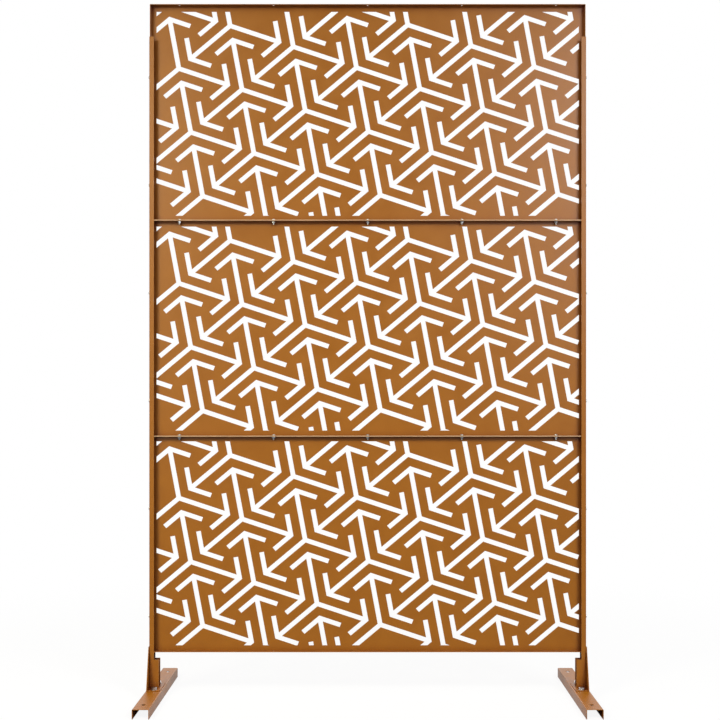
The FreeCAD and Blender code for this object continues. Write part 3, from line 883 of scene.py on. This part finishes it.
paper = bpy.data.materials.new("white_paper")
paper.use_nodes = True
tree = paper.node_tree
tree.nodes.clear()
rays = add_node(tree, "ShaderNodeLightPath").outputs
place = add_node(tree, "ShaderNodeTexCoord").outputs["Object"]
axes = add_node(tree, "ShaderNodeSeparateXYZ", {0: place}).outputs
front = add_node(tree, "ShaderNodeMapRange", {
    "Value": axes["Y"], "From Min": FRONT_END, "From Max": FRONT_START, "To Min": FRONT_GLOW},
    interpolation_type="SMOOTHSTEP")
mirrored = add_node(tree, "ShaderNodeMath", {
    0: rays["Is Glossy Ray"], 1: rays["Is Transmission Ray"]}, operation="MAXIMUM")
mirrored = add_node(tree, "ShaderNodeMath", {0: mirrored, 1: front}, operation="MULTIPLY")
looked_at = add_node(tree, "ShaderNodeMath", {0: mirrored, 1: rays["Is Camera Ray"]}, operation="MAXIMUM")
off_foot = add_node(tree, "ShaderNodeMath", {0: axes["X"]}, operation="ABSOLUTE")
off_foot = add_node(tree, "ShaderNodeMath", {0: off_foot, 1: BOLT_X * MM}, operation="SUBTRACT")
off_foot = add_node(tree, "ShaderNodeMath", {0: off_foot}, operation="ABSOLUTE")
roofed = add_node(tree, "ShaderNodeMath", {0: off_foot, 1: FOOT_HALF}, operation="LESS_THAN")
along = add_node(tree, "ShaderNodeMath", {0: axes["Y"]}, operation="ABSOLUTE")
mouth = add_node(tree, "ShaderNodeMath", {0: rays["Is Camera Ray"], 1: FOOT_MOUTH}, operation="MULTIPLY")
along = add_node(tree, "ShaderNodeMath", {0: along, 1: mouth}, operation="ADD")
dark = add_node(tree, "ShaderNodeMapRange", {
    "Value": along, "From Min": FOOT_REACH, "From Max": FOOT_REACH - MOUTH_SOFT},
    interpolation_type="SMOOTHSTEP")
dark = add_node(tree, "ShaderNodeMath", {0: roofed, 1: dark}, operation="MULTIPLY")
lit = add_node(tree, "ShaderNodeMath", {0: 1.0, 1: dark}, operation="SUBTRACT")
away = add_node(tree, "ShaderNodeVectorMath", {0: place}, operation="LENGTH").outputs["Value"]
glow = add_node(tree, "ShaderNodeMapRange", {
    "Value": away, "From Min": NEAR, "From Max": FAR, "To Min": PAPER_GLOW}, interpolation_type="SMOOTHSTEP")
share = add_node(tree, "ShaderNodeMath", {0: looked_at, 1: glow}, operation="MULTIPLY")
share = add_node(tree, "ShaderNodeMath", {0: share, 1: lit}, operation="MULTIPLY")
fibre = add_node(tree, "ShaderNodeMix", {
    "Factor": rays["Is Camera Ray"], "A": linear(PAPER_DIM), "B": linear(PAPER_WHITE)}, data_type="RGBA")
matt = add_node(tree, "ShaderNodeBsdfDiffuse", {"Color": fibre.outputs["Result"]})
white = add_node(tree, "ShaderNodeEmission", {"Color": linear(WHITE), "Strength": 1.0})
blend = add_node(tree, "ShaderNodeMixShader", {0: share, 1: matt, 2: white})
add_node(tree, "ShaderNodeOutputMaterial", {"Surface": blend})
floor_mesh.materials.append(paper)
print("paper nodes:", len(tree.nodes))

# %% [markdown]
# The room is dim all round and brighter overhead, which fills the tops of the feet and flanges. What the
# camera sees past the screen, and what the coat reflects from behind it, is the same white as the paper.

# %% The room
AMBIENT, CEILING = 0.1, 0.8
# Headings, as parts of one, where the backdrop and the ceiling begin and where they are full
BACKDROP_START, BACKDROP_FULL = -0.1, 0.3
CEILING_START, CEILING_FULL = 0.2, 0.9
world = bpy.data.worlds.new("studio")
scene.world = world
world.use_nodes = True
tree = world.node_tree
tree.nodes.clear()
rays = add_node(tree, "ShaderNodeLightPath").outputs
heading = add_node(tree, "ShaderNodeTexCoord").outputs["Generated"]
heading = add_node(tree, "ShaderNodeSeparateXYZ", {0: heading}).outputs
behind = add_node(tree, "ShaderNodeMapRange", {
    "Value": heading["Y"], "From Min": BACKDROP_START, "From Max": BACKDROP_FULL})
mirrored = add_node(tree, "ShaderNodeMath", {
    0: rays["Is Glossy Ray"], 1: rays["Is Transmission Ray"]}, operation="MAXIMUM")
mirrored = add_node(tree, "ShaderNodeMath", {0: mirrored, 1: behind}, operation="MULTIPLY")
seen = add_node(tree, "ShaderNodeMath", {0: mirrored, 1: rays["Is Camera Ray"]}, operation="MAXIMUM")
overhead = add_node(tree, "ShaderNodeMapRange", {
    "Value": heading["Z"], "From Min": CEILING_START, "From Max": CEILING_FULL,
    "To Min": AMBIENT, "To Max": CEILING})
room = add_node(tree, "ShaderNodeBackground", {"Color": linear(WHITE), "Strength": overhead})
backdrop = add_node(tree, "ShaderNodeBackground", {"Color": linear(WHITE), "Strength": 1.0})
around = add_node(tree, "ShaderNodeMixShader", {0: seen, 1: room, 2: backdrop})
add_node(tree, "ShaderNodeOutputWorld", {"Surface": around})
scene.view_settings.view_transform = "Standard"
print("room nodes:", len(tree.nodes))

# %% [markdown]
# Dressing a part must not change its size. At the end the scene is brought up to date.

# %% Bring the scene up to date
bpy.context.view_layer.update()
